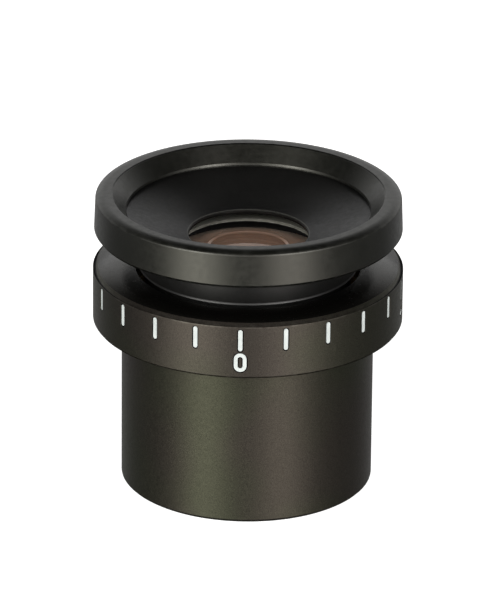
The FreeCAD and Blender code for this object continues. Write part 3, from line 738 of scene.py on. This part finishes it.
def add_camera():
    """Long lens, looking down on the scale side, tilted by half a degree."""
    elevation = math.radians(23.054)
    roll = math.radians(0.546)
    distance = 0.76435
    focal_length = 379.65
    aim = Vector((0.00027, 0.0, 0.02167))
    back = Vector((0.0, -math.cos(elevation), math.sin(elevation)))
    level = back.to_track_quat("Z", "Y").to_matrix()
    camera = bpy.data.objects.new("camera", bpy.data.cameras.new("camera"))
    camera.data.lens = focal_length
    camera.data.sensor_width = 36.0
    camera.data.clip_start = 0.01
    camera.matrix_world = Matrix.LocRotScale(
        aim + back * distance, (level @ Matrix.Rotation(roll, 3, "Z")).to_quaternion(), None
    )
    bpy.context.collection.objects.link(camera)
    bpy.context.scene.camera = camera


# ---------------------------------------------------------------- stage and light


def add_floor():
    """White sweep that glows a little, as an evenly lit table does, so that shadows stay faint."""
    mesh = bpy.data.meshes.new("floor")
    reach = 6.0
    mesh.from_pydata([(-reach, -reach, 0), (reach, -reach, 0), (reach, reach, 0), (-reach, reach, 0)], [],
                     [(0, 1, 2, 3)])
    floor = bpy.data.objects.new("floor", mesh)
    bpy.context.collection.objects.link(floor)
    floor.visible_glossy = False
    paint = bpy.data.materials.new("floor_white")
    paint.use_nodes = True
    shader = paint.node_tree.nodes["Principled BSDF"]
    shader.inputs["Base Color"].default_value = (0.6, 0.6, 0.6, 1)
    shader.inputs["Roughness"].default_value = 0.8
    shader.inputs["Specular IOR Level"].default_value = 0.1
    shader.inputs["Emission Color"].default_value = (1, 1, 1, 1)
    shader.inputs["Emission Strength"].default_value = 0.93
    mesh.materials.append(paint)


def add_softbox(name, azimuth, elevation, distance, width, height, watts, colour=(1, 1, 1)):
    """Rectangular soft light that faces the object. Azimuth 0 is the camera's side."""
    lamp = bpy.data.lights.new(name, "AREA")
    lamp.shape = "RECTANGLE"
    lamp.size = width
    lamp.size_y = height
    lamp.energy = watts
    lamp.color = colour
    around = math.radians(azimuth)
    up = math.radians(elevation)
    back = Vector((math.sin(around) * math.cos(up), -math.cos(around) * math.cos(up), math.sin(up)))
    light = bpy.data.objects.new(name, lamp)
    light.matrix_world = Matrix.LocRotScale(back * distance, back.to_track_quat("Z", "Y"), None)
    bpy.context.collection.objects.link(light)


def add_world():
    """Dim studio: soft panels and a lit horizon in front, a pale backdrop and the table's end behind."""
    world = bpy.data.worlds.new("studio")
    world.use_nodes = True
    tree = world.node_tree
    split = tree.nodes.new("ShaderNodeSeparateXYZ")
    tree.links.new(tree.nodes.new("ShaderNodeTexCoord").outputs["Generated"], split.inputs["Vector"])
    ahead = math_node(tree, "MULTIPLY", split.outputs["Y"], -1.0)
    azimuth = math_node(tree, "ARCTAN2", split.outputs["X"], ahead)
    height = split.outputs["Z"]
    total = tree.nodes["Background"]
    total.inputs["Color"].default_value = (1, 1, 1, 1)
    backdrop = math_node(tree, "MULTIPLY", spread(tree, split.outputs["Y"], 0.3, 0.8, 0.0, 0.75),
                         math_node(tree, "MULTIPLY", spread(tree, height, -0.1, 0.15),
                                   spread(tree, height, 0.6, 0.45)))
    ambient = spread(tree, height, 0.25, 0.6, 0.14, 0.03)
    table_end = math_node(tree, "MULTIPLY", spread(tree, split.outputs["Y"], 0.5, 0.9, 0.0, 0.22),
                          spread(tree, height, 0.1, -0.1))
    horizon = math_node(tree, "MULTIPLY", spread(tree, ahead, 0.1, 0.6, 0.0, 1.6),
                        math_node(tree, "MULTIPLY", spread(tree, height, -0.12, 0.0),
                                  spread(tree, height, 0.30, 0.15)))
    for extra in (ambient, table_end, horizon):
        backdrop = math_node(tree, "ADD", backdrop, extra)
    tree.links.new(backdrop, total.inputs["Strength"])
    result = total.outputs["Background"]
    for middle, width, strength, colour in (
        (-38, 17, 4.3, (1.0, 0.98, 0.90, 1)),
        (32, 16, 3.5, (1.0, 0.95, 0.90, 1)),
    ):
        off = math_node(tree, "DIVIDE", math_node(tree, "SUBTRACT", azimuth, math.radians(middle)),
                        math.radians(width))
        fall = math_node(tree, "EXPONENT", math_node(tree, "MULTIPLY",
                                                     math_node(tree, "MULTIPLY", off, off), -1.0))
        window = math_node(tree, "MULTIPLY", spread(tree, height, -0.85, -0.3),
                           spread(tree, height, 0.85, 0.5))
        panel = tree.nodes.new("ShaderNodeBackground")
        panel.inputs["Color"].default_value = colour
        tree.links.new(math_node(tree, "MULTIPLY", math_node(tree, "MULTIPLY", fall, window), strength),
                       panel.inputs["Strength"])
        both = tree.nodes.new("ShaderNodeAddShader")
        tree.links.new(result, both.inputs[0])
        tree.links.new(panel.outputs["Background"], both.inputs[1])
        result = both.outputs["Shader"]
    tree.links.new(result, tree.nodes["World Output"].inputs["Surface"])
    bpy.context.scene.world = world


add_camera()
add_floor()
add_world()
add_softbox("softbox_left", -42, 25, 1.0, 0.35, 0.5, 3)
add_softbox("softbox_right", 36, 25, 1.0, 0.35, 0.5, 3)
bpy.context.scene.view_settings.view_transform = "Standard"
